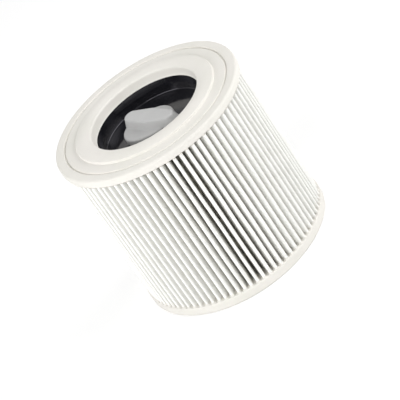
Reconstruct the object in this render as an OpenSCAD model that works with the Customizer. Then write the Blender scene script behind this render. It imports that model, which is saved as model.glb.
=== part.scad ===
// Pleated vacuum filter cartridge with a twist lock knob in its closed end.
// It stands on its open end, with the cartridge's axis along Z and the origin at the foot of that axis.

/* [Caps] */
// Outside diameter of both end caps
cap_d = 117; // [110:0.5:140]
// Thickness of the open end cap
base_t = 6; // [4:0.1:12]
// Opening of the open end cap
mouth_d = 67; // [50:0.5:69]
// Height of the closed end cap's skirt, up to its outer face
skirt_h = 4.6; // [4:0.1:10]
// Rise of the raised inner ring above the outer face
ring_rise = 1.6; // [1.4:0.1:4]
// Outside diameter of the raised inner ring
ring_d = 89; // [84:0.5:98]
// Extra rise at the middle of the raised ring
ring_crown = 0.4; // [0:0.1:1.5]
// Diameter of the narrow groove round the outer face
groove_d = 104.2; // [101:0.2:110]
// Width of the narrow groove
groove_w = 1.2; // [0.6:0.1:2]
// Depth of the narrow groove
groove_depth = 0.9; // [0.3:0.1:2]
// Round on the outer edges of the caps
edge_r = 1.4; // [0.6:0.1:2]
// Round on the edge of the raised ring
step_r = 0.9; // [0.4:0.1:1]
// Round where the raised ring turns down into the hole
lip_r = 1.3; // [0.5:0.1:2]
// How far the hole narrows from that round down to the bowl
hole_taper = 0.7; // [0.2:0.1:2]

/* [Pleats] */
// Length of the pleats between the caps
pleat_h = 95.6; // [50:0.2:200]
// Number of pleats
pleat_count = 86; // [40:1:90]
// Thickness of the filter paper
sheet_t = 0.6; // [0.4:0.05:0.8]
// Outside radius of the outer folds
fold_r = 1; // [0.85:0.05:1.1]
// Outside radius of the inner folds
inner_fold_r = 0.85; // [0.82:0.01:0.95]
// How far the outer folds stay inside the caps' edge
fold_inset = 0.6; // [0.2:0.1:3]
// Gap between the inner folds and the cage
pleat_gap = 0.3; // [0.1:0.1:2]

/* [Cage] */
// Wall of the lattice cage
cage_wall = 1.8; // [1.2:0.1:3]
// Gap between the cage and the bowl's wall
cage_gap = 0.6; // [0.2:0.1:1.5]
// Number of upright bars
cage_bars = 16; // [8:2:20]
// Width of an upright bar
bar_w = 3.8; // [2:0.1:5]
// Number of window rows
cage_rows = 7; // [3:1:9]
// Height of the hoops between the windows
hoop_h = 3.2; // [2:0.1:5]

/* [Bowl] */
// Inside diameter of the bowl at its rim
bowl_d = 66.4; // [62:0.2:68]
// How much the bowl narrows in diameter from rim to floor
bowl_taper = 1.4; // [0.4:0.1:3]
// Depth of the bowl
bowl_depth = 9.1; // [8:0.1:14]
// Wall of the bowl
bowl_wall = 1.6; // [1.2:0.1:2.4]
// Thickness of the bowl's floor
floor_t = 2.4; // [2:0.1:4]
// Thickness of the bowl's rim flange
flange_t = 1.2; // [0.8:0.1:2]
// How deep the flange lies in the closed end cap
flange_seat = 0.4; // [0.2:0.1:1]
// Length of the bearing boss under the floor
boss_h = 5.7; // [3:0.1:10]
// Wall of the bearing boss
boss_wall = 3.2; // [1.6:0.1:4]
// Number of ribs under the floor
rib_count = 6; // [3:1:10]
// Thickness of a rib
rib_t = 1.6; // [1:0.1:3]

/* [Knob] */
// Diameter of the round hub, and of the lobe beside it
hub_d = 26.8; // [22:0.2:30]
// Height of the hub
hub_h = 4.2; // [3:0.1:7]
// How far the lobe stands off the axis
lobe_shift = 5.4; // [2:0.1:8]
// Direction of the lobe at rest
lobe_angle = 162; // [0:1:360]
// Length of the grip bar
grip_l = 37.4; // [28:0.2:42]
// Width of the grip bar's top at its middle
grip_w = 12.8; // [9:0.1:16]
// Width of the grip bar's top at its ends
grip_end_w = 9; // [6:0.1:10]
// Height of the grip bar above the hub
grip_h = 4.6; // [3:0.1:8]
// Draft of the grip bar's sides
grip_draft = 1.4; // [0.4:0.1:2.5]
// Direction of the grip bar at rest
grip_angle = -55; // [-180:1:180]
// Round on the knob's edges
knob_edge = 1; // [0.4:0.1:1.5]
// Gap between the knob and what it turns over
knob_gap = 0.3; // [0.1:0.05:0.6]
// Turn of the knob from rest to its stop
turn_angle = 90; // [60:5:120]

/* [Spindle and key] */
// Diameter of the spindle
spindle_d = 12; // [10:0.2:14]
// Clearance round the spindle
spindle_gap = 0.3; // [0.1:0.05:0.5]
// Width of the square tang
tang_w = 8; // [6:0.1:8.4]
// Slot that lets the tang spring
tang_slot = 2; // [1:0.1:3]
// Height of the barbs at the tang's tip
barb_h = 1.8; // [1.2:0.1:3]
// How far the barbs stand out
barb_out = 0.9; // [0.6:0.1:1.2]
// Clearance round the tang in the key
tang_gap = 0.1; // [0.05:0.05:0.2]
// Length of the key over its lugs
key_l = 30; // [24:0.5:40]
// Width of the lugs
key_w = 8; // [6:0.2:12]
// Thickness of the lugs
lug_t = 3.2; // [2:0.1:5]
// Diameter of the key's hub
key_hub_d = 18; // [15:0.2:22]
// Height of the key's hub
key_h = 5; // [4:0.1:8]
// Width of the spindle seal
seal_w = 4; // [2:0.1:5]
// Thickness of the spindle seal
seal_t = 0.8; // [0.5:0.1:1.2]
// How deep the seal lies in the bowl's floor
seal_seat = 0.6; // [0.3:0.1:1]
// Diameter of the stop nib under the knob
nib_d = 2.8; // [2:0.1:3.4]
// How far the stop nib stands off the axis
nib_off = 15; // [13:0.1:16.5]
// Depth of the nib's groove in the bowl's floor
nib_groove = 1.4; // [0.8:0.1:1.6]

/* [Hidden] */
$fn = 96;

cap_r = cap_d / 2;
pleats_z = base_t;
cap_z = pleats_z + pleat_h;
face_z = cap_z + skirt_h;
ring_z = face_z + ring_rise;
bowl_r = bowl_d / 2;
bowl_z = cap_z + flange_seat;
floor_z = bowl_z - bowl_depth;
bowl_or = bowl_r + bowl_wall;
cage_ir = bowl_or + cage_gap;
cage_or = cage_ir + cage_wall;
cage_top = bowl_z - flange_t;
fold_out = cap_r - fold_inset;
fold_in = cage_or + pleat_gap;
cast_gap = 0.1;
small_r = 0.5;
seal_z = floor_z - seal_seat;
seal_top = seal_z + seal_t;
hub_z = seal_top + knob_gap;
grip_z = hub_z + hub_h;
boss_r = spindle_d / 2 + spindle_gap;
boss_z = floor_z - floor_t - boss_h;
key_top = boss_z - knob_gap;
key_z = key_top - key_h;
eps = 0.01;

// Points along an arc about c, from angle a to angle b in degrees
function arc(c, r, a, b, n = 6) =
    [for (i = [0:n]) c + r * [cos(a + (b - a) * i / n), sin(a + (b - a) * i / n)]];

// A point at radius r and sideways offset s, turned to the given angle
function polar(r, s, angle) = [r * cos(angle) - s * sin(angle), r * sin(angle) + s * cos(angle)];

// One face of the folded sheet: a round crest and a round valley for each pleat
function folds(crest_r, valley_r) =
    let (step = 360 / pleat_count, crest_c = fold_out - fold_r, valley_c = fold_in + inner_fold_r)
    [for (i = [0:pleat_count - 1]) each concat(
        [for (a = [-90:30:90]) polar(crest_c + crest_r * cos(a), crest_r * sin(a), i * step)],
        [for (a = [-90:45:90]) polar(valley_c - valley_r * cos(a), valley_r * sin(a), (i + 0.5) * step)])];

// Section of the closed end cap
function top_section() =
    let (hole_top = bowl_r + hole_taper, crown_a = ring_d / 2 - step_r, crown_b = hole_top + lip_r,
        crown_m = (crown_a + crown_b) / 2, crown_h = (crown_a - crown_b) / 2)
    concat(
        [[cage_or + cast_gap, cap_z]],
        arc([cap_r - small_r, cap_z + small_r], small_r, -90, 0, 4),
        arc([cap_r - edge_r, face_z - edge_r], edge_r, 0, 90),
        [[groove_d / 2 + groove_w / 2, face_z], [groove_d / 2 + groove_w / 3, face_z - groove_depth],
            [groove_d / 2 - groove_w / 3, face_z - groove_depth], [groove_d / 2 - groove_w / 2, face_z]],
        arc([ring_d / 2 + small_r, face_z + small_r], small_r, 270, 180, 4),
        arc([ring_d / 2 - step_r, ring_z - step_r], step_r, 0, 90),
        [for (i = [1:7]) let (x = 1 - i / 4) [crown_m + crown_h * x, ring_z + ring_crown * (1 - x * x)]],
        arc([crown_b, ring_z - lip_r], lip_r, 90, 180),
        [[bowl_r, bowl_z], [cage_or + cast_gap, bowl_z]]);

// Closed end cap, cast in cream polyurethane onto the pleats, the cage and the bowl's flange
module top_cap() {
    color([0.93, 0.92, 0.88])
    rotate_extrude() polygon(top_section());
}

// Open end cap, cast in the same polyurethane, on which the cartridge stands
module bottom_cap() {
    color([0.93, 0.92, 0.88])
    rotate_extrude() polygon(concat(
        [[mouth_d / 2 + small_r, 0]],
        arc([cap_r - edge_r, edge_r], edge_r, -90, 0),
        arc([cap_r - small_r, base_t - small_r], small_r, 0, 90, 4),
        [[mouth_d / 2, base_t], [mouth_d / 2, small_r]]));
}

// Filter paper: one sheet folded into pleats and joined into a ring
module pleated_media() {
    color([0.97, 0.97, 0.95])
    translate([0, 0, pleats_z]) linear_extrude(pleat_h) difference() {
        polygon(folds(fold_r, inner_fold_r - sheet_t));
        polygon(folds(fold_r - sheet_t, inner_fold_r));
    }
}

// Lattice tube inside the pleats, with rows of windows between its hoops
module core_cage() {
    cage_h = cage_top - pleats_z;
    row_pitch = (cage_h - hoop_h) / cage_rows;
    window_w = 2 * cage_or * sin(180 / cage_bars) - bar_w;
    color([0.9, 0.9, 0.88])
    difference() {
        translate([0, 0, pleats_z]) cylinder(r = cage_or, h = cage_h);
        translate([0, 0, pleats_z - 1]) cylinder(r = cage_ir, h = cage_h + 2);
        for (row = [0:cage_rows - 1], side = [0:cage_bars / 2 - 1])
            translate([0, 0, pleats_z + hoop_h + row * row_pitch])
            rotate([0, 0, side * 360 / cage_bars])
            translate([-cage_or - 1, -window_w / 2, 0])
            cube([2 * cage_or + 2, window_w, row_pitch - hoop_h]);
    }
}

// Groove in the bowl's floor, in which the knob's nib runs from stop to stop
module stop_groove() {
    groove_half = nib_d / 2 + spindle_gap;
    translate([0, 0, floor_z - nib_groove]) {
        rotate([0, 0, lobe_angle - turn_angle]) rotate_extrude(angle = turn_angle)
            translate([nib_off - groove_half, 0]) square([2 * groove_half, nib_groove + 1]);
        for (a = [lobe_angle - turn_angle, lobe_angle])
            rotate([0, 0, a]) translate([nib_off, 0, 0]) cylinder(r = groove_half, h = nib_groove + 1);
    }
}

// Glossy bowl in the closed end, hung by its flange between the cap and the cage
module lock_bowl() {
    floor_r = bowl_r - bowl_taper / 2;
    under_z = floor_z - floor_t;
    color([0.04, 0.04, 0.045])
    difference() {
        union() {
            rotate_extrude() polygon(concat(
                [[0, under_z]],
                arc([bowl_or - bowl_wall, under_z + bowl_wall], bowl_wall, -90, 0),
                [[bowl_or, cage_top], [cage_or, cage_top], [cage_or, bowl_z], [bowl_r, bowl_z]],
                arc([floor_r - small_r, floor_z + small_r], small_r, 0, -90, 4),
                [[0, floor_z]]));
            translate([0, 0, boss_z]) cylinder(r = boss_r + boss_wall, h = boss_h + 1);
            for (i = [0:rib_count - 1])
                rotate([0, 0, i * 360 / rib_count])
                translate([boss_r + boss_wall / 2, -rib_t / 2, under_z - boss_h / 2])
                cube([bowl_r - 2 * bowl_wall - boss_r - boss_wall / 2, rib_t, boss_h / 2 + 1]);
        }
        translate([0, 0, boss_z - 1]) cylinder(r = boss_r, h = boss_h + floor_t + 2);
        translate([0, 0, seal_z]) cylinder(r = boss_r + seal_w + cast_gap, h = seal_seat + 1);
        stop_groove();
    }
}

// Section of a round pad with a rounded upper edge and drafted side
function pad_section(r, h, draft, edge) =
    concat([[0, 0], [r + draft, 0]], arc([r - edge, h - edge], edge, 0, 90), [[0, h]]);

// Round pad of the grip bar at one place along it
module grip_pad(x, width) {
    translate([x, 0, 0])
    rotate_extrude($fn = 32) polygon(pad_section(width / 2, grip_h, grip_draft, knob_edge));
}

// Barbed half of the square tang, on the side of +X
module tang_leg() {
    translate([0, tang_w / 2, 0]) rotate([90, 0, 0]) linear_extrude(tang_w) polygon([
        [tang_slot / 2, key_z - barb_h], [tang_w / 2, key_z - barb_h],
        [tang_w / 2 + barb_out, key_z - barb_h / 3], [tang_w / 2 + barb_out, key_z],
        [tang_w / 2, key_z], [tang_w / 2, key_top + eps], [tang_slot / 2, key_top + eps]]);
}

// Twist knob: hub and lobe, grip bar, spindle with its split tang, and the stop nib
module twist_knob() {
    color([0.68, 0.68, 0.68]) {
        difference() {
            union() {
                translate([0, 0, hub_z]) {
                    for (x = [0, lobe_shift])
                        rotate([0, 0, lobe_angle]) translate([x, 0, 0])
                        rotate_extrude() polygon(pad_section(hub_d / 2, hub_h, 0, knob_edge));
                    rotate([0, 0, lobe_angle]) rotate([90, 0, 90]) linear_extrude(lobe_shift) {
                        polygon(pad_section(hub_d / 2, hub_h, 0, knob_edge));
                        mirror([1, 0]) polygon(pad_section(hub_d / 2, hub_h, 0, knob_edge));
                    }
                }
                translate([0, 0, grip_z - eps]) rotate([0, 0, grip_angle]) hull() {
                    grip_pad(0, grip_w);
                    grip_pad(grip_l / 2 - grip_end_w / 2, grip_end_w);
                    grip_pad(grip_end_w / 2 - grip_l / 2, grip_end_w);
                }
                translate([0, 0, key_top]) cylinder(d = spindle_d, h = hub_z - key_top + 1);
                rotate([0, 0, lobe_angle]) translate([nib_off, 0, floor_z - nib_groove + knob_gap])
                    cylinder(d = nib_d, h = hub_z - floor_z + nib_groove - knob_gap + 1);
            }
            translate([-tang_slot / 2, -spindle_d, key_top - 1])
                cube([tang_slot, 2 * spindle_d, boss_h + 1]);
        }
        tang_leg();
        mirror([1, 0, 0]) tang_leg();
    }
}

// Bayonet key under the bowl, snapped onto the tang, with two lugs that grip the cleaner's cage
module lock_key() {
    color([0.2, 0.2, 0.21])
    difference() {
        union() {
            translate([0, 0, key_z]) cylinder(d = key_hub_d, h = key_h);
            translate([0, 0, key_z]) intersection() {
                translate([-key_l / 2, -key_w / 2, 0]) cube([key_l, key_w, lug_t]);
                cylinder(d = key_l, h = lug_t);
            }
        }
        translate([-tang_w / 2 - tang_gap, -tang_w / 2 - tang_gap, key_z - 1])
            cube([tang_w + 2 * tang_gap, tang_w + 2 * tang_gap, key_h + 2]);
    }
}

// Flat seal ring round the spindle, in its seat in the bowl's floor
module spindle_seal() {
    color([0.12, 0.12, 0.12])
    translate([0, 0, seal_z]) difference() {
        cylinder(r = boss_r + seal_w, h = seal_t);
        translate([0, 0, -1]) cylinder(r = boss_r, h = seal_t + 2);
    }
}

top_cap();
bottom_cap();
pleated_media();
core_cage();
lock_bowl();
twist_knob();
lock_key();
spindle_seal();
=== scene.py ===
"""Looks of the pleated filter cartridge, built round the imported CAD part.

The part's sizes are in millimetres, and those of the studio round it are in metres.
"""

import math
import random

import bmesh
import bpy
from mathutils import Matrix, Vector, noise

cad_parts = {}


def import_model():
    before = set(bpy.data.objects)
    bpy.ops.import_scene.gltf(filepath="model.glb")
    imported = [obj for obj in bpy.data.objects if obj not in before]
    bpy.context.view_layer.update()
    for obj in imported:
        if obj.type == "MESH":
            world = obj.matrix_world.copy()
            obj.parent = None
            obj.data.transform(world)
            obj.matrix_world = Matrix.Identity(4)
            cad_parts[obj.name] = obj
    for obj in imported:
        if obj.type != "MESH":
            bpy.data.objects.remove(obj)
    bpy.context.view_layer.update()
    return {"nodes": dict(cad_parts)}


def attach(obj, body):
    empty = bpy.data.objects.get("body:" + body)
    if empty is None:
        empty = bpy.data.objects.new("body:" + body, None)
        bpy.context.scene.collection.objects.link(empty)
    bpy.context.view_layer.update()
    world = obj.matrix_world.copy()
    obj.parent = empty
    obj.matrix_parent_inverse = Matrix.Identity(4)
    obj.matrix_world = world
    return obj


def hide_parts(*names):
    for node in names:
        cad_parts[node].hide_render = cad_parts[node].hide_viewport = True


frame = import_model()
MM = 0.001

# Heights of the part, as in the CAD source
BASE_T = 6.0
CAP_Z = 101.6
FACE_Z = 106.2
RING_Z = 107.8
BOWL_Z = 102.0
CAGE_TOP = 100.8
FLOOR_Z = 92.9
UNDER_Z = 90.5
BOSS_Z = 84.8
SEAL_Z = 92.3
HUB_Z = 93.4
GRIP_Z = 97.6
KEY_TOP = 84.5

# Radii
CAP_R = 58.5
MOUTH_R = 33.5
CAGE_OR = 37.2
BOWL_R = 33.2
BOWL_OR = 34.8
HOLE_R = 33.9
RING_R = 44.5
GROOVE_R = 52.1
SPINDLE_R = 6.0
BOSS_R = 6.3

# Edges of the caps
CAP_EDGE_R = 1.4
RING_EDGE_R = 0.9
LIP_R = 1.3
SMALL_R = 0.5
CROWN_H = 0.4
GROOVE_DEPTH = 0.6
GROOVE_BOTTOM_R = 0.34
GROOVE_LIP_R = 0.25
GROOVE_LIP_OUT = 0.85
CAP_SEGMENTS = 360
CAP_STEP = 2.2
DENT = 0.12

# Bowl
BOWL_SEGMENTS = 384
BOWL_EDGE_R = 0.25
FLOOR_FILLET = 0.8
OUTER_FILLET = 1.6
RIBS = 6
RIB_HALF = 0.8
RIB_DROP = 2.85

# Folded sheet
PLEATS = 86
SHEET_T = 0.6
FOLD_OUT = 57.9
FOLD_IN = 37.5
CREST_R = 1.0
VALLEY_R = 0.85
SHEET_ROWS = 36
SHEET_SINK = 0.3
SWAY = 0.45
VALLEY_SWAY = 0.12

# Knob
HUB_R = 13.4
LOBE_SHIFT = 5.4
LOBE_ANGLE = 162
GRIP_ANGLE = -55
GRIP_H = 4.6
GRIP_DRAFT = 1.4
GRIP_MIDDLE_R = 6.4
GRIP_END_R = 4.5
GRIP_END_AT = 14.2
KNOB_EDGE_R = 1.0
TURN = 90
NIB_R = 1.4
NIB_AT = 15
NIB_PLAY = 0.3
NIB_DROP = 1.1
NIB_GROOVE_DEPTH = 1.4
OUTLINE_POINTS = 96
VOXEL = 0.32

# Camera, fitted to the photo, in metres
CAMERA_AT = (-0.0032, -1.0198, 0.6222)
CAMERA_RIGHT = (0.8229, -0.2825, -0.493)
CAMERA_BACK = (0.0, -0.8677, 0.4971)
LENS = 184.3
SENSOR_WIDTH = 36


# Mesh helpers


def arc(cx, cz, r, a, b, n=10):
    """Points along an arc, from angle a to b in degrees."""
    steps = [math.radians(a + (b - a) * i / n) for i in range(n + 1)]
    return [(cx + r * math.cos(t), cz + r * math.sin(t)) for t in steps]


def polar(r, side, angle):
    """A point at radius r with a sideways offset, turned by an angle in radians."""
    c, s = math.cos(angle), math.sin(angle)
    return r * c - side * s, r * s + side * c


def add_mesh(name, verts, faces, material, sharp=35):
    """A smooth-shaded object from points in millimetres."""
    mesh = bpy.data.meshes.new(name)
    mesh.from_pydata([(x * MM, y * MM, z * MM) for x, y, z in verts], [], faces)
    mesh.validate()
    mesh.shade_smooth()
    mesh.set_sharp_from_angle(angle=math.radians(sharp))
    mesh.materials.append(material)
    obj = bpy.data.objects.new(name, mesh)
    bpy.context.scene.collection.objects.link(obj)
    return obj


def lathe(profile, segments):
    """Points and faces of a closed profile turned about the Z axis."""
    n = len(profile)
    verts = []
    for i in range(segments):
        t = 2 * math.pi * i / segments
        c, s = math.cos(t), math.sin(t)
        verts += [(r * c, r * s, z) for r, z in profile]
    faces = []
    for i in range(segments):
        a, b = i * n, (i + 1) % segments * n
        for j in range(n):
            k = (j + 1) % n
            faces.append((a + j, b + j, b + k, a + k))
    return verts, faces


def refine(profile, step):
    """The closed profile with extra points wherever two lie further apart than step."""
    out = []
    for (r0, z0), (r1, z1) in zip(profile, profile[1:] + profile[:1]):
        parts = max(1, math.ceil(math.hypot(r1 - r0, z1 - z0) / step))
        out += [(r0 + (r1 - r0) * i / parts, z0 + (z1 - z0) * i / parts) for i in range(parts)]
    return out


def fix_normals(obj):
    """Turns every face of a closed mesh outward."""
    bm = bmesh.new()
    bm.from_mesh(obj.data)
    bmesh.ops.recalc_face_normals(bm, faces=bm.faces)
    bm.to_mesh(obj.data)
    bm.free()


def apply_modifiers(obj):
    """Bakes the modifiers of an object into its mesh."""
    graph = bpy.context.evaluated_depsgraph_get()
    mesh = bpy.data.meshes.new_from_object(obj.evaluated_get(graph))
    obj.modifiers.clear()
    obj.data = mesh


def place(obj, body, slot, *nodes):
    """The piece rides on a body and stands for the CAD nodes; slot is not used."""
    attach(obj, body)
    if nodes:
        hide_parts(*nodes)
    return obj


# Materials


class Maker:
    """A node material with a Principled shader, built from short calls."""

    def __init__(self, name, **sockets):
        self.material = bpy.data.materials.new(name)
        self.material.use_nodes = True
        self.tree = self.material.node_tree
        self.shader = self.tree.nodes["Principled BSDF"]
        for key, value in sockets.items():
            self.shader.inputs[key.replace("_", " ")].default_value = value
        self.coord = self.tree.nodes.new("ShaderNodeTexCoord").outputs["Object"]

    def node(self, kind, inputs=(), **settings):
        made = self.tree.nodes.new(kind)
        for key, value in settings.items():
            setattr(made, key, value)
        for key, value in dict(inputs).items():
            self.put(made.inputs[key], value)
        return made

    def put(self, socket, value):
        if isinstance(value, bpy.types.NodeSocket):
            self.tree.links.new(value, socket)
        else:
            socket.default_value = value

    def stretched(self, scale):
        return self.node("ShaderNodeMapping", {"Vector": self.coord, "Scale": scale}).outputs["Vector"]

    def noise(self, scale, detail=3.0, vector=None, roughness=0.5):
        made = self.node(
            "ShaderNodeTexNoise",
            {"Vector": vector or self.coord, "Scale": scale, "Detail": detail, "Roughness": roughness},
        )
        return made.outputs["Fac"]

    def cells(self, scale, vector=None):
        made = self.node("ShaderNodeTexVoronoi", {"Vector": vector or self.coord, "Scale": scale})
        return made.outputs["Distance"]

    def span(self, value, a, b, low=0.0, high=1.0):
        made = self.node(
            "ShaderNodeMapRange",
            {"Value": value, "From Min": a, "From Max": b, "To Min": low, "To Max": high},
        )
        return made.outputs["Result"]

    def maths(self, operation, a, b):
        made = self.node("ShaderNodeMath", operation=operation)
        self.put(made.inputs[0], a)
        self.put(made.inputs[1], b)
        return made.outputs[0]

    def blend(self, factor, a, b):
        made = self.node("ShaderNodeMix", data_type="RGBA")
        self.put(made.inputs["Factor"], factor)
        self.put(made.inputs[6], (*a, 1) if isinstance(a, tuple) else a)
        self.put(made.inputs[7], (*b, 1) if isinstance(b, tuple) else b)
        return made.outputs[2]

    def bump(self, *layers):
        """Layers of (height, depth in millimetres), from the coarsest to the finest."""
        normal = None
        for height, depth in layers:
            made = self.node("ShaderNodeBump", {"Height": height, "Distance": depth * MM})
            if normal:
                self.put(made.inputs["Normal"], normal)
            normal = made.outputs["Normal"]
        self.put(self.shader.inputs["Normal"], normal)

    def colour(self, value):
        self.put(self.shader.inputs["Base Color"], value)

    def rough(self, value):
        self.put(self.shader.inputs["Roughness"], value)


def cast_polyurethane():
    m = Maker("cast_polyurethane", Specular_IOR_Level=0.42)
    mottle = m.noise(38, 4)
    fine = m.noise(2600, 2)
    skin = m.blend(m.span(mottle, 0.35, 0.65), (0.775, 0.76, 0.705), (0.81, 0.785, 0.74))
    pores = m.span(m.cells(310), 0.05, 0.1, 1, 0)
    sparse = m.span(m.noise(90, 1), 0.6, 0.68)
    pits = m.maths("MULTIPLY", pores, sparse)
    m.colour(m.blend(m.maths("MULTIPLY", pits, 0.35), skin, (0.5, 0.47, 0.42)))
    m.rough(m.span(m.noise(240, 3), 0.3, 0.7, 0.46, 0.6))
    m.bump((m.noise(60, 2), 0.12), (m.noise(420, 3), 0.03), (fine, 0.012), (pits, -0.05))
    return m.material


def filter_paper():
    m = Maker("filter_paper", Roughness=0.92, Specular_IOR_Level=0.2, Sheen_Weight=0.15, Sheen_Roughness=0.6)
    flat = m.node("ShaderNodeVectorMath", {0: m.coord, 1: (1, 1, 0)}, operation="MULTIPLY")
    radius = m.node("ShaderNodeVectorMath", {0: flat.outputs["Vector"]}, operation="LENGTH").outputs["Value"]
    depth = m.span(radius, FOLD_IN * MM, FOLD_OUT * MM)
    fibres = m.noise(900, 5, m.stretched((1, 1, 0.3)), 0.65)
    clouds = m.noise(120, 3)
    paper = m.blend(m.span(clouds, 0.3, 0.7), (0.905, 0.9, 0.865), (0.935, 0.932, 0.905))
    specks = m.span(fibres, 0.62, 0.72)
    paper = m.blend(m.maths("MULTIPLY", specks, 0.16), paper, (0.8, 0.78, 0.72))
    # Painted shade: the paper turns a darker beige towards the inner radius, deep in the folds, where shade
    # falls
    inner = m.span(depth, 0.15, 0.9, 0.55, 0)
    m.colour(m.blend(inner, paper, (0.80, 0.755, 0.62)))
    m.bump((clouds, 0.05), (fibres, 0.05), (m.noise(3600, 2), 0.02))
    return m.material


def gloss_black():
    m = Maker("gloss_black", IOR=1.6, Specular_Tint=(0.93, 0.91, 1.0, 1))
    wear = m.noise(170, 5, None, 0.7)
    m.colour(m.blend(m.span(wear, 0.4, 0.7), (0.008, 0.008, 0.01), (0.014, 0.014, 0.017)))
    m.rough(m.span(wear, 0.3, 0.75, 0.07, 0.16))
    m.bump((m.noise(55, 2), 0.03), (m.noise(1500, 2), 0.0015))
    return m.material


def satin_grey():
    m = Maker("satin_grey", Specular_IOR_Level=0.5)
    grain = m.noise(2300, 3, None, 0.6)
    m.colour(m.blend(m.span(m.noise(70, 3), 0.3, 0.7), (0.49, 0.49, 0.487), (0.53, 0.53, 0.525)))
    m.rough(m.span(grain, 0.3, 0.7, 0.36, 0.5))
    m.bump((m.noise(110, 2), 0.03), (grain, 0.012))
    return m.material


def moulded(name, dark, light, rough, grain_depth):
    """Plain moulded plastic or rubber with faint flow marks and a fine grain."""
    m = Maker(name)
    flow = m.noise(45, 4, m.stretched((1, 1, 2.5)))
    grain = m.noise(1900, 3)
    m.colour(m.blend(m.span(flow, 0.3, 0.7), dark, light))
    m.rough(m.span(grain, 0.3, 0.7, rough - 0.06, rough + 0.06))
    m.bump((flow, 0.05), (grain, grain_depth))
    return m.material


CREAM = cast_polyurethane()
PAPER = filter_paper()
BLACK = gloss_black()
GREY = satin_grey()
CAGE = moulded("natural_polypropylene", (0.78, 0.78, 0.74), (0.83, 0.83, 0.8), 0.45, 0.01)
KEY = moulded("black_polypropylene", (0.03, 0.03, 0.033), (0.045, 0.045, 0.05), 0.42, 0.015)
RUBBER = moulded("seal_rubber", (0.022, 0.022, 0.022), (0.034, 0.034, 0.033), 0.7, 0.02)


# Folded sheet

STEP = 2 * math.pi / PLEATS
CREST_C = FOLD_OUT - CREST_R
VALLEY_C = FOLD_IN + VALLEY_R
draw = random.Random(11)
FOLDS = [
    {
        "shift": draw.uniform(-0.16, 0.16),
        "lean": draw.uniform(-0.14, 0.14),
        "sink": draw.uniform(0.0, 0.35),
        "round": draw.uniform(0.88, 1.0),
        "seed": draw.uniform(0, 100),
    }
    for _ in range(PLEATS)
]


def crest(i, z):
    """Angle, radius and roundness of a crest at height z: folded paper is never quite even."""
    f = FOLDS[i % PLEATS]
    u = (z - BASE_T) / (CAP_Z - BASE_T)
    sway = noise.noise(Vector((f["seed"], u * 2.2, 0))) * math.sin(math.pi * min(1, max(0, u)))
    side = f["shift"] + f["lean"] * (u - 0.5) + SWAY * sway
    return i * STEP + side / CREST_C, CREST_C - f["sink"], f["round"]


def valley(i, z):
    """Angle of the valley after crest i."""
    f = FOLDS[i % PLEATS]
    sway = VALLEY_SWAY * noise.noise(Vector((f["seed"], 50, z * 0.02)))
    return (i + 0.5) * STEP + sway / VALLEY_C


def fold(centre, r, way, step, angle):
    """Points round a fold, in steps of an angle in degrees; way is 1 for a crest and -1 for a valley."""
    out = []
    for i in range(int(round(180 / step)) + 1):
        a = math.radians(i * step - 90)
        out.append(polar(centre + way * r * math.cos(a), r * math.sin(a), angle))
    return out


def sheet_loop(z, outer):
    """One face of the sheet at a height: round crests and valleys, with a point midway along each wall."""
    points = []
    for i in range(PLEATS):
        angle, centre, fullness = crest(i, z)
        crest_r = fullness * (CREST_R if outer else CREST_R - SHEET_T)
        centre += CREST_R - CREST_R * fullness
        valley_r = VALLEY_R - SHEET_T if outer else VALLEY_R
        crest_step = 22.5 if outer else 45
        valley_step = 90 if outer else 30
        top = fold(centre, crest_r, 1, crest_step, angle)
        low = fold(VALLEY_C, valley_r, -1, valley_step, valley(i, z))
        points += top + [None] + low + [None]
    for k, p in enumerate(points):
        if p is None:
            (x0, y0), (x1, y1) = points[k - 1], points[(k + 1) % len(points)]
            points[k] = ((x0 + x1) / 2, (y0 + y1) / 2)
    return points


def folded_sheet():
    """The closed ring of paper, which reaches a little way into both caps."""
    low, high = BASE_T - SHEET_SINK, CAP_Z + SHEET_SINK
    verts, faces = [], []
    for row in range(SHEET_ROWS + 1):
        z = low + (high - low) * row / SHEET_ROWS
        for outer in (True, False):
            verts += [(x, y, z) for x, y in sheet_loop(z, outer)]
    n = len(verts) // (SHEET_ROWS + 1) // 2
    for row in range(SHEET_ROWS):
        for side in (0, 1):
            a = (2 * row + side) * n
            b = a + 2 * n
            for j in range(n):
                k = (j + 1) % n
                quad = (a + j, a + k, b + k, b + j)
                faces.append(quad if side == 0 else quad[::-1])
    for row in (0, SHEET_ROWS):
        a, b = 2 * row * n, (2 * row + 1) * n
        for j in range(n):
            k = (j + 1) % n
            quad = (a + j, b + j, b + k, a + k)
            faces.append(quad if row == 0 else quad[::-1])
    return add_mesh("folded_sheet", verts, faces, PAPER, 60)


place(folded_sheet(), "filter", "filter_paper", "pleated_media")


# End caps


def meniscus(z, up):
    """Bead where the cast cap has crept up the outer face of the sheet, as points and faces."""
    path = sheet_loop(z, True)
    n = len(path)
    verts, faces = [], []
    for k, (x, y) in enumerate(path):
        (x0, y0), (x1, y1) = path[k - 1], path[(k + 1) % n]
        tx, ty = x1 - x0, y1 - y0
        length = math.hypot(tx, ty)
        nx, ny = ty / length, -tx / length
        r = math.hypot(x, y)
        gap = 0.5 + (r - VALLEY_C) / (CREST_C - VALLEY_C) * 1.6
        wide = min(0.75, 0.42 * gap)
        creep = 1.0 + 0.55 * noise.noise(Vector((x * 0.5, y * 0.5, z)))
        bead = (
            (-0.1, creep),
            (0.0, creep * 0.96),
            (0.18, 0.5 * creep),
            (0.5, 0.18 * creep),
            (1, -0.02),
        )
        for off, rise in bead:
            out = off * wide
            verts.append((x + nx * out, y + ny * out, z + up * rise))
        verts.append((x - nx * 0.1, y - ny * 0.1, z - up * 0.1))
    rings = 6
    for k in range(n):
        a, b = k * rings, (k + 1) % n * rings
        for j in range(rings):
            m = (j + 1) % rings
            faces.append((a + j, a + m, b + m, b + j))
    return verts, faces


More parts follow.
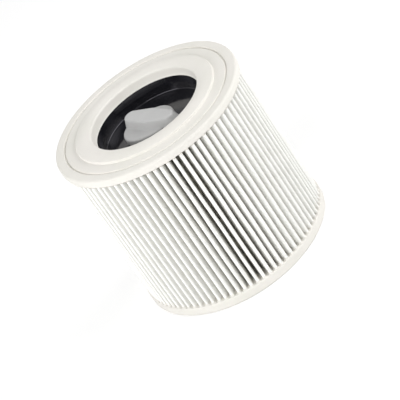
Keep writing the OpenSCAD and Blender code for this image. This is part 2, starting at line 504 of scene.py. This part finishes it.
def dented(verts, depth):
    """Slightly uneven cast skin: points move inward only, so that the caps keep their outside size."""
    out = []
    for x, y, z in verts:
        r = math.hypot(x, y)
        dent = depth * (0.5 + 0.5 * noise.noise(Vector((x * 0.06, y * 0.06, z * 0.12))))
        k = (r - dent) / r if r > (CAP_R + MOUTH_R) / 2 else 1
        out.append((x * k, y * k, z))
    return out


def cap(name, profile, sheet_z, up):
    """A cast cap and the bead where it meets the sheet; up points from the cap to the sheet."""
    verts, faces = lathe(refine(profile, CAP_STEP), CAP_SEGMENTS)
    verts = dented(verts, DENT)
    more, strips = meniscus(sheet_z, up)
    shift = len(verts)
    verts += more
    faces += [tuple(v + shift for v in f) for f in strips]
    obj = add_mesh(name, verts, faces, CREAM, 50)
    fix_normals(obj)
    return obj


def top_profile():
    """Section of the closed end's cap, from the sheet round the outside to the hole."""
    crown_a, crown_b = RING_R - RING_EDGE_R, HOLE_R + LIP_R
    middle, half = (crown_a + crown_b) / 2, (crown_a - crown_b) / 2
    crown = [(middle + half * x, RING_Z + CROWN_H * (1 - x * x)) for x in [1 - i / 6 for i in range(1, 12)]]
    return (
        [(CAGE_OR + 0.1, CAP_Z)]
        + arc(CAP_R - SMALL_R, CAP_Z + SMALL_R, SMALL_R, -90, 0, 6)
        + arc(CAP_R - CAP_EDGE_R, FACE_Z - CAP_EDGE_R, CAP_EDGE_R, 0, 90, 12)
        + arc(GROOVE_R + GROOVE_LIP_OUT, FACE_Z - GROOVE_LIP_R, GROOVE_LIP_R, 90, 180, 4)
        + arc(GROOVE_R, FACE_Z - GROOVE_DEPTH, GROOVE_BOTTOM_R, 0, -180, 8)
        + arc(GROOVE_R - GROOVE_LIP_OUT, FACE_Z - GROOVE_LIP_R, GROOVE_LIP_R, 0, 90, 4)
        + arc(RING_R + SMALL_R, FACE_Z + SMALL_R, SMALL_R, 270, 180, 6)
        + arc(RING_R - RING_EDGE_R, RING_Z - RING_EDGE_R, RING_EDGE_R, 0, 90, 10)
        + crown
        + arc(crown_b, RING_Z - LIP_R, LIP_R, 90, 180, 12)
        + [(BOWL_R + 0.12, BOWL_Z + 0.1), (BOWL_R, BOWL_Z), (CAGE_OR + 0.1, BOWL_Z)]
    )


def base_profile():
    """Section of the open end's cap."""
    return (
        arc(MOUTH_R + SMALL_R, SMALL_R, SMALL_R, 180, 270, 6)
        + arc(CAP_R - CAP_EDGE_R, CAP_EDGE_R, CAP_EDGE_R, -90, 0, 12)
        + arc(CAP_R - SMALL_R, BASE_T - SMALL_R, SMALL_R, 0, 90, 6)
        + arc(MOUTH_R + 0.4, BASE_T - 0.4, 0.4, 90, 180, 5)
    )


place(cap("closed_end_cap", top_profile(), CAP_Z, -1), "filter", "cap_cream", "top_cap")
place(cap("open_end_cap", base_profile(), BASE_T, 1), "filter", "cap_cream", "bottom_cap")


# Bowl


def bowl_profile():
    """Section of the bowl, from the spindle's boss under the floor round to the seal's seat."""
    floor_r = BOWL_R - 0.7
    return (
        [(BOSS_R, BOSS_Z + 0.3), (BOSS_R + 0.3, BOSS_Z), (BOSS_R + 2.9, BOSS_Z), (BOSS_R + 3.2, BOSS_Z + 0.3)]
        + arc(BOSS_R + 3.7, UNDER_Z - SMALL_R, SMALL_R, 180, 90, 5)
        + arc(BOWL_OR - OUTER_FILLET, UNDER_Z + OUTER_FILLET, OUTER_FILLET, -90, 0, 8)
        + [(BOWL_OR, CAGE_TOP), (CAGE_OR, CAGE_TOP), (CAGE_OR, BOWL_Z)]
        + arc(BOWL_R + BOWL_EDGE_R, BOWL_Z - BOWL_EDGE_R, BOWL_EDGE_R, 90, 175, 4)
        + arc(floor_r - FLOOR_FILLET, FLOOR_Z + FLOOR_FILLET, FLOOR_FILLET, 0, -90, 10)
        + [(BOSS_R + 4.2, FLOOR_Z), (BOSS_R + 4.1, FLOOR_Z - 0.1), (BOSS_R + 4.1, SEAL_Z), (BOSS_R, SEAL_Z)]
    )


def groove_cutter():
    """The nib's groove, as a closed arc-shaped block that is cut from the bowl's floor."""
    half = NIB_R + NIB_PLAY
    low, high = FLOOR_Z - NIB_GROOVE_DEPTH, FLOOR_Z + 1
    outline = []
    first = LOBE_ANGLE - TURN
    ends = ((first, LOBE_ANGLE, NIB_AT + half), (LOBE_ANGLE, first, NIB_AT - half))
    for start, stop, r in ends:
        for i in range(31):
            a = math.radians(start + (stop - start) * i / 30)
            outline.append((r * math.cos(a), r * math.sin(a)))
        c = math.radians(stop)
        x, y = NIB_AT * math.cos(c), NIB_AT * math.sin(c)
        for i in range(1, 12):
            a = c + math.pi * i / 12 + (0 if stop > start else math.pi)
            outline.append((x + half * math.cos(a), y + half * math.sin(a)))
    n = len(outline)
    verts = [(x, y, low) for x, y in outline] + [(x, y, high) for x, y in outline]
    faces = [tuple(range(n))[::-1], tuple(range(n, 2 * n))]
    faces += [(k, (k + 1) % n, n + (k + 1) % n, n + k) for k in range(n)]
    return add_mesh("groove_cutter", verts, faces, BLACK)


def bowl():
    """The bowl, with the nib's groove cut from its floor."""
    verts, faces = lathe(bowl_profile(), BOWL_SEGMENTS)
    obj = add_mesh("black_bowl", verts, faces, BLACK, 40)
    fix_normals(obj)
    cutter = groove_cutter()
    fix_normals(cutter)
    cut = obj.modifiers.new("groove", "BOOLEAN")
    cut.operation = "DIFFERENCE"
    cut.object = cutter
    cut.solver = "EXACT"
    apply_modifiers(obj)
    bpy.data.objects.remove(cutter)
    obj.data.set_sharp_from_angle(angle=math.radians(40))
    return obj


def bowl_ribs():
    """Ribs between the boss and the wall, under the bowl's floor."""
    inner, outer = BOSS_R + 1.6, BOWL_R - 3.2
    side_view = (
        (inner, UNDER_Z - RIB_DROP),
        (outer - 1.5, UNDER_Z - RIB_DROP),
        (outer, UNDER_Z - 1.6),
        (outer, UNDER_Z + 0.5),
        (inner, UNDER_Z + 0.5),
    )
    corners = len(side_view)
    verts, faces = [], []
    for i in range(RIBS):
        a = 2 * math.pi * i / RIBS
        base = len(verts)
        for r, z in side_view:
            verts += [(*polar(r, side, a), z) for side in (-RIB_HALF, RIB_HALF)]
        left = [base + 2 * k for k in range(corners)]
        right = [v + 1 for v in left]
        faces += [tuple(left), tuple(right[::-1])]
        for k in range(corners):
            j = (k + 1) % corners
            faces.append((left[k], right[k], right[j], left[j]))
    obj = add_mesh("bowl_ribs", verts, faces, BLACK)
    fix_normals(obj)
    return obj


place(bowl(), "filter", "bowl_black", "lock_bowl")
place(bowl_ribs(), "filter", "bowl_black")


# Knob


def hull_outline(circles):
    """Outline of the convex hull of circles (x, y, r), as its support points in even directions."""
    out = []
    for i in range(OUTLINE_POINTS):
        a = 2 * math.pi * i / OUTLINE_POINTS
        c, s = math.cos(a), math.sin(a)
        x, y, r = max(circles, key=lambda q: q[0] * c + q[1] * s + q[2])
        out.append((x + r * c, y + r * s))
    return out


def stack(layers, turn):
    """Closed solid from layers of (z, circles), all turned by an angle in degrees."""
    verts, faces = [], []
    t = math.radians(turn)
    for z, circles in layers:
        ring = hull_outline(circles)
        verts += [(x * math.cos(t) - y * math.sin(t), x * math.sin(t) + y * math.cos(t), z) for x, y in ring]
    n = OUTLINE_POINTS
    for row in range(len(layers) - 1):
        a, b = row * n, (row + 1) * n
        faces += [(a + j, a + (j + 1) % n, b + (j + 1) % n, b + j) for j in range(n)]
    faces += [tuple(range(n))[::-1], tuple(range((len(layers) - 1) * n, len(layers) * n))]
    return verts, faces


def knob_parts():
    """Points and faces of the hub, the grip, the spindle and the nib, which the knob fuses."""

    def hub(z, off):
        return z, [(0, 0, HUB_R + off), (LOBE_SHIFT, 0, HUB_R + off)]

    def grip(h, off):
        ends = [(x, 0, GRIP_END_R + off) for x in (GRIP_END_AT, -GRIP_END_AT)]
        return GRIP_Z + h, [(0, 0, GRIP_MIDDLE_R + off), *ends]

    edge = KNOB_EDGE_R
    arcs = [math.radians(a) for a in range(0, 91, 15)]
    hub_layers = [hub(HUB_Z, -0.3), hub(HUB_Z + 0.3, 0)]
    hub_layers += [hub(GRIP_Z - edge + edge * math.sin(a), edge * (math.cos(a) - 1)) for a in arcs]
    grip_layers = [grip(-0.6, GRIP_DRAFT + 0.2), grip(0, GRIP_DRAFT)]
    grip_layers += [grip(GRIP_H - edge + edge * math.sin(a), edge * (math.cos(a) - 1)) for a in arcs]
    yield stack(hub_layers, LOBE_ANGLE)
    yield stack(grip_layers, GRIP_ANGLE)
    yield stack([(KEY_TOP, [(0, 0, SPINDLE_R)]), (HUB_Z + 1, [(0, 0, SPINDLE_R)])], 0)
    nib = [(NIB_AT, 0, NIB_R)]
    yield stack([(FLOOR_Z - NIB_DROP, nib), (HUB_Z + 1, nib)], LOBE_ANGLE)


def knob():
    """The knob as one skin with softened edges, made by a remesh of its overlapping parts."""
    verts, faces = [], []
    for part_verts, part_faces in knob_parts():
        shift = len(verts)
        verts += part_verts
        faces += [tuple(v + shift for v in f) for f in part_faces]
    obj = add_mesh("twist_grip", verts, faces, GREY, 180)
    fix_normals(obj)
    skin = obj.modifiers.new("skin", "REMESH")
    skin.mode = "VOXEL"
    skin.voxel_size = VOXEL * MM
    skin.use_smooth_shade = True
    soften = obj.modifiers.new("soften", "SMOOTH")
    soften.factor = 0.5
    soften.iterations = 4
    apply_modifiers(obj)
    obj.data.materials.clear()
    obj.data.materials.append(GREY)
    return obj


place(knob(), "knob", "knob_grey", "twist_knob")


# Carried CAD nodes

for node_name, finish in (("core_cage", CAGE), ("lock_key", KEY), ("spindle_seal", RUBBER)):
    node = frame["nodes"][node_name]
    node.data.materials.clear()
    node.data.materials.append(finish)


# Floor, light and camera


def floor():
    """Plain pale floor, lifted a little for the camera and clear when seen from below."""
    mesh = bpy.data.meshes.new("floor")
    size = 4.0
    corners = [(-size, -size, 0), (size, -size, 0), (size, size, 0), (-size, size, 0)]
    mesh.from_pydata(corners, [], [(0, 1, 2, 3)])
    obj = bpy.data.objects.new("floor", mesh)
    bpy.context.scene.collection.objects.link(obj)
    m = Maker("pale_floor", Roughness=0.85, Specular_IOR_Level=0.1)
    m.colour(m.blend(m.noise(6, 2), (0.78, 0.78, 0.78), (0.8, 0.8, 0.8)))
    tree = m.tree
    path = m.node("ShaderNodeLightPath").outputs["Is Camera Ray"]
    lift = m.node("ShaderNodeEmission", {"Color": (1, 1, 1, 1), "Strength": m.maths("MULTIPLY", path, 0.3)})
    both = m.node("ShaderNodeAddShader")
    tree.links.new(m.shader.outputs[0], both.inputs[0])
    tree.links.new(lift.outputs[0], both.inputs[1])
    below = m.node("ShaderNodeMixShader")
    tree.links.new(m.node("ShaderNodeNewGeometry").outputs["Backfacing"], below.inputs["Fac"])
    tree.links.new(both.outputs[0], below.inputs[1])
    tree.links.new(m.node("ShaderNodeBsdfTransparent").outputs[0], below.inputs[2])
    tree.links.new(below.outputs[0], tree.nodes["Material Output"].inputs["Surface"])
    mesh.materials.append(m.material)


def world(strength):
    """Even light from all round, which the camera itself sees as white."""
    made = bpy.data.worlds.new("studio")
    bpy.context.scene.world = made
    made.use_nodes = True
    tree = made.node_tree
    background = tree.nodes["Background"]
    path = tree.nodes.new("ShaderNodeLightPath")
    level = tree.nodes.new("ShaderNodeMapRange")
    tree.links.new(path.outputs["Is Camera Ray"], level.inputs["Value"])
    level.inputs["To Min"].default_value = strength
    level.inputs["To Max"].default_value = 1.0
    tree.links.new(level.outputs["Result"], background.inputs["Strength"])
    background.inputs["Color"].default_value = (1, 1, 1, 1)


def softbox(name, azimuth, elevation, distance, width, height, radiance):
    """Area lamp that faces the part's middle; radiance 1 looks like a white sheet."""
    data = bpy.data.lights.new(name, "AREA")
    data.shape = "RECTANGLE"
    data.size = width
    data.size_y = height
    data.energy = radiance * math.pi * width * height
    obj = bpy.data.objects.new(name, data)
    bpy.context.scene.collection.objects.link(obj)
    a, e = math.radians(azimuth), math.radians(elevation)
    way = Vector((math.cos(a) * math.cos(e), math.sin(a) * math.cos(e), math.sin(e)))
    obj.location = Vector((0, 0, 0.06)) + way * distance
    obj.rotation_mode = "QUATERNION"
    obj.rotation_quaternion = way.to_track_quat("Z", "Y")
    obj.visible_camera = False


def camera():
    """The camera at the photo's viewing angle, rolled as the photo shows."""
    data = bpy.data.cameras.new("camera")
    data.lens = LENS
    data.sensor_width = SENSOR_WIDTH
    data.clip_start = 0.05
    data.clip_end = 50
    obj = bpy.data.objects.new("camera", data)
    bpy.context.scene.collection.objects.link(obj)
    right = Vector(CAMERA_RIGHT).normalized()
    back = Vector(CAMERA_BACK).normalized()
    up = back.cross(right).normalized()
    turn = Matrix((right, up, back)).transposed().to_4x4()
    obj.matrix_world = Matrix.Translation(CAMERA_AT) @ turn
    bpy.context.scene.camera = obj


floor()
world(0.42)
softbox("left_box", -140, 26, 1.0, 1.3, 0.6, 3.4)
softbox("right_box", -8, 26, 1.0, 1.3, 0.6, 3.4)
softbox("back_fill", 98, 58, 1.2, 0.9, 0.5, 1.2)
camera()
bpy.context.scene.view_settings.view_transform = "Standard"
